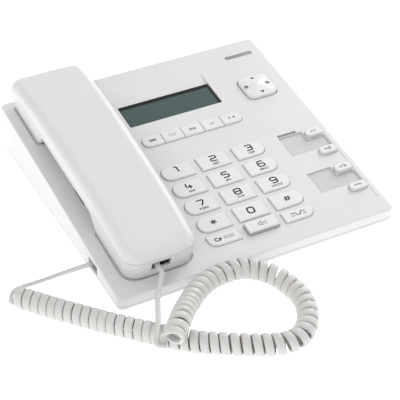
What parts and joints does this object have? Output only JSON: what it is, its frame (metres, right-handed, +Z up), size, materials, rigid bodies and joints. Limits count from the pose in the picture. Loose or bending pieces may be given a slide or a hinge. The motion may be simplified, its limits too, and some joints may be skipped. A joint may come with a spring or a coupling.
{
  "type": "corded desk telephone",
  "caption": "Sloping white desk telephone with a lift-off handset, push keys, a small display, a rocking four-way key and a curly cord.",
  "frame": {"origin": "middle of the base's outline, on the surface the telephone stands on", "axes": "+Z up, +Y towards the rear of the telephone, +X to the right as its user sees it"},
  "size_m": [0.2555, 0.2796, 0.0577],
  "materials": {
    "case": "fine satin grain, white",
    "keys": "smooth satin, white",
    "handset_shell": "smooth semi-gloss, white",
    "cord": "flexible vinyl, off-white",
    "grey_lens": "smooth translucent grey",
    "clear_plastic": "clear, polished",
    "display_glass": "polished window over a grey-green display",
    "card": "plain printed card",
    "board": "green solder mask",
    "silicone": "moulded silicone",
    "black_plastic": "moulded black plastic",
    "foot_rubber": "soft moulded rubber",
    "steel": "plated"
  },
  "bodies": {
    "base": {"base_top_cover": "case", "base_bottom_cover": "case", "display_window": "display_glass", "lcd_panel": "grey_lens", "indicator_lens": "grey_lens", "main_board": "board", "keypad_mat": "silicone", "index_card_upper": "card", "index_card_lower": "card", "card_window_upper": "clear_plastic", "card_window_lower": "clear_plastic", "hook_switch": "black_plastic", "loudspeaker": "black_plastic", "handset_cord_jack": "black_plastic", "line_jack": "black_plastic", "foot_front_left": "foot_rubber", "foot_front_right": "foot_rubber", "foot_rear_left": "foot_rubber", "foot_rear_right": "foot_rubber", "screw_front_left": "steel", "screw_front_right": "steel", "screw_rear_left": "steel", "screw_rear_right": "steel", "cord_coil": "cord", "cord_lead_base": "cord", "plug_base": "clear_plastic"},
    "handset": {"handset_back_shell": "handset_shell", "handset_front_shell": "handset_shell", "receiver_capsule": "black_plastic", "handset_microphone": "steel", "handset_jack": "black_plastic", "plug_handset": "clear_plastic", "cord_lead_handset": "cord"},
    "hook_button": {"hook_button": "keys"},
    "key_1": {"key_1": "keys"},
    "key_2": {"key_2": "keys"},
    "key_3": {"key_3": "keys"},
    "key_4": {"key_4": "keys"},
    "key_5": {"key_5": "keys"},
    "key_6": {"key_6": "keys"},
    "key_7": {"key_7": "keys"},
    "key_8": {"key_8": "keys"},
    "key_9": {"key_9": "keys"},
    "key_star": {"key_star": "keys"},
    "key_0": {"key_0": "keys"},
    "key_hash": {"key_hash": "keys"},
    "key_redial": {"key_redial": "keys"},
    "key_speaker": {"key_speaker": "keys"},
    "key_flash": {"key_flash": "keys"},
    "key_soft_1": {"key_soft_1": "keys"},
    "key_soft_2": {"key_soft_2": "keys"},
    "key_soft_3": {"key_soft_3": "keys"},
    "key_soft_4": {"key_soft_4": "keys"},
    "key_soft_5": {"key_soft_5": "keys"},
    "key_memory_1": {"key_memory_1": "keys"},
    "key_memory_2": {"key_memory_2": "keys"},
    "key_memory_3": {"key_memory_3": "keys"},
    "key_memory_4": {"key_memory_4": "keys"},
    "nav_stem": {"nav_stem": "black_plastic"},
    "nav_pad": {"nav_pad": "keys"}
  },
  "joints": [
    {"name": "handset_lift", "type": "slide", "parent": "base", "child": "handset", "axis": [0, -0.1305, 0.9914], "range_m": [0, 0.08]},
    {"name": "hook_plunge", "type": "slide", "parent": "base", "child": "hook_button", "axis": [0, -0.1305, 0.9914], "range_m": [0, 0.004]},
    {"name": "key_1_press", "type": "slide", "parent": "base", "child": "key_1", "axis": [0, 0.1305, -0.9914], "range_m": [0, 0.0012], "stiffness_N_per_m": 400},
    {"name": "key_2_press", "type": "slide", "parent": "base", "child": "key_2", "axis": [0, 0.1305, -0.9914], "range_m": [0, 0.0012], "stiffness_N_per_m": 400},
    {"name": "key_3_press", "type": "slide", "parent": "base", "child": "key_3", "axis": [0, 0.1305, -0.9914], "range_m": [0, 0.0012], "stiffness_N_per_m": 400},
    {"name": "key_4_press", "type": "slide", "parent": "base", "child": "key_4", "axis": [0, 0.1305, -0.9914], "range_m": [0, 0.0012], "stiffness_N_per_m": 400},
    {"name": "key_5_press", "type": "slide", "parent": "base", "child": "key_5", "axis": [0, 0.1305, -0.9914], "range_m": [0, 0.0012], "stiffness_N_per_m": 400},
    {"name": "key_6_press", "type": "slide", "parent": "base", "child": "key_6", "axis": [0, 0.1305, -0.9914], "range_m": [0, 0.0012], "stiffness_N_per_m": 400},
    {"name": "key_7_press", "type": "slide", "parent": "base", "child": "key_7", "axis": [0, 0.1305, -0.9914], "range_m": [0, 0.0012], "stiffness_N_per_m": 400},
    {"name": "key_8_press", "type": "slide", "parent": "base", "child": "key_8", "axis": [0, 0.1305, -0.9914], "range_m": [0, 0.0012], "stiffness_N_per_m": 400},
    {"name": "key_9_press", "type": "slide", "parent": "base", "child": "key_9", "axis": [0, 0.1305, -0.9914], "range_m": [0, 0.0012], "stiffness_N_per_m": 400},
    {"name": "key_star_press", "type": "slide", "parent": "base", "child": "key_star", "axis": [0, 0.1305, -0.9914], "range_m": [0, 0.0012], "stiffness_N_per_m": 400},
    {"name": "key_0_press", "type": "slide", "parent": "base", "child": "key_0", "axis": [0, 0.1305, -0.9914], "range_m": [0, 0.0012], "stiffness_N_per_m": 400},
    {"name": "key_hash_press", "type": "slide", "parent": "base", "child": "key_hash", "axis": [0, 0.1305, -0.9914], "range_m": [0, 0.0012], "stiffness_N_per_m": 400},
    {"name": "key_redial_press", "type": "slide", "parent": "base", "child": "key_redial", "axis": [0, 0.1305, -0.9914], "range_m": [0, 0.0012], "stiffness_N_per_m": 400},
    {"name": "key_speaker_press", "type": "slide", "parent": "base", "child": "key_speaker", "axis": [0, 0.1305, -0.9914], "range_m": [0, 0.0012], "stiffness_N_per_m": 400},
    {"name": "key_flash_press", "type": "slide", "parent": "base", "child": "key_flash", "axis": [0, 0.1305, -0.9914], "range_m": [0, 0.0012], "stiffness_N_per_m": 400},
    {"name": "key_soft_1_press", "type": "slide", "parent": "base", "child": "key_soft_1", "axis": [0, 0.1305, -0.9914], "range_m": [0, 0.0012], "stiffness_N_per_m": 400},
    {"name": "key_soft_2_press", "type": "slide", "parent": "base", "child": "key_soft_2", "axis": [0, 0.1305, -0.9914], "range_m": [0, 0.0012], "stiffness_N_per_m": 400},
    {"name": "key_soft_3_press", "type": "slide", "parent": "base", "child": "key_soft_3", "axis": [0, 0.1305, -0.9914], "range_m": [0, 0.0012], "stiffness_N_per_m": 400},
    {"name": "key_soft_4_press", "type": "slide", "parent": "base", "child": "key_soft_4", "axis": [0, 0.1305, -0.9914], "range_m": [0, 0.0012], "stiffness_N_per_m": 400},
    {"name": "key_soft_5_press", "type": "slide", "parent": "base", "child": "key_soft_5", "axis": [0, 0.1305, -0.9914], "range_m": [0, 0.0012], "stiffness_N_per_m": 400},
    {"name": "key_memory_1_press", "type": "slide", "parent": "base", "child": "key_memory_1", "axis": [0, 0.1305, -0.9914], "range_m": [0, 0.0012], "stiffness_N_per_m": 400},
    {"name": "key_memory_2_press", "type": "slide", "parent": "base", "child": "key_memory_2", "axis": [0, 0.1305, -0.9914], "range_m": [0, 0.0012], "stiffness_N_per_m": 400},
    {"name": "key_memory_3_press", "type": "slide", "parent": "base", "child": "key_memory_3", "axis": [0, 0.1305, -0.9914], "range_m": [0, 0.0012], "stiffness_N_per_m": 400},
    {"name": "key_memory_4_press", "type": "slide", "parent": "base", "child": "key_memory_4", "axis": [0, 0.1305, -0.9914], "range_m": [0, 0.0012], "stiffness_N_per_m": 400},
    {"name": "nav_rock_up_down", "type": "hinge", "parent": "base", "child": "nav_stem", "pos_m": [0.0765, 0.04629, 0.02793], "axis": [1, 0, 0], "range_deg": [-4, 4], "stiffness_Nm_per_rad": 0.06},
    {"name": "nav_rock_left_right", "type": "hinge", "parent": "nav_stem", "child": "nav_pad", "pos_m": [0.0765, 0.04629, 0.02793], "axis": [0, 0.9914, 0.1305], "range_deg": [-4, 4], "stiffness_Nm_per_rad": 0.06}
  ],
  "couplings": [
    {"joint": "hook_plunge", "follows": "handset_lift", "ratio": 0.05}
  ]
}
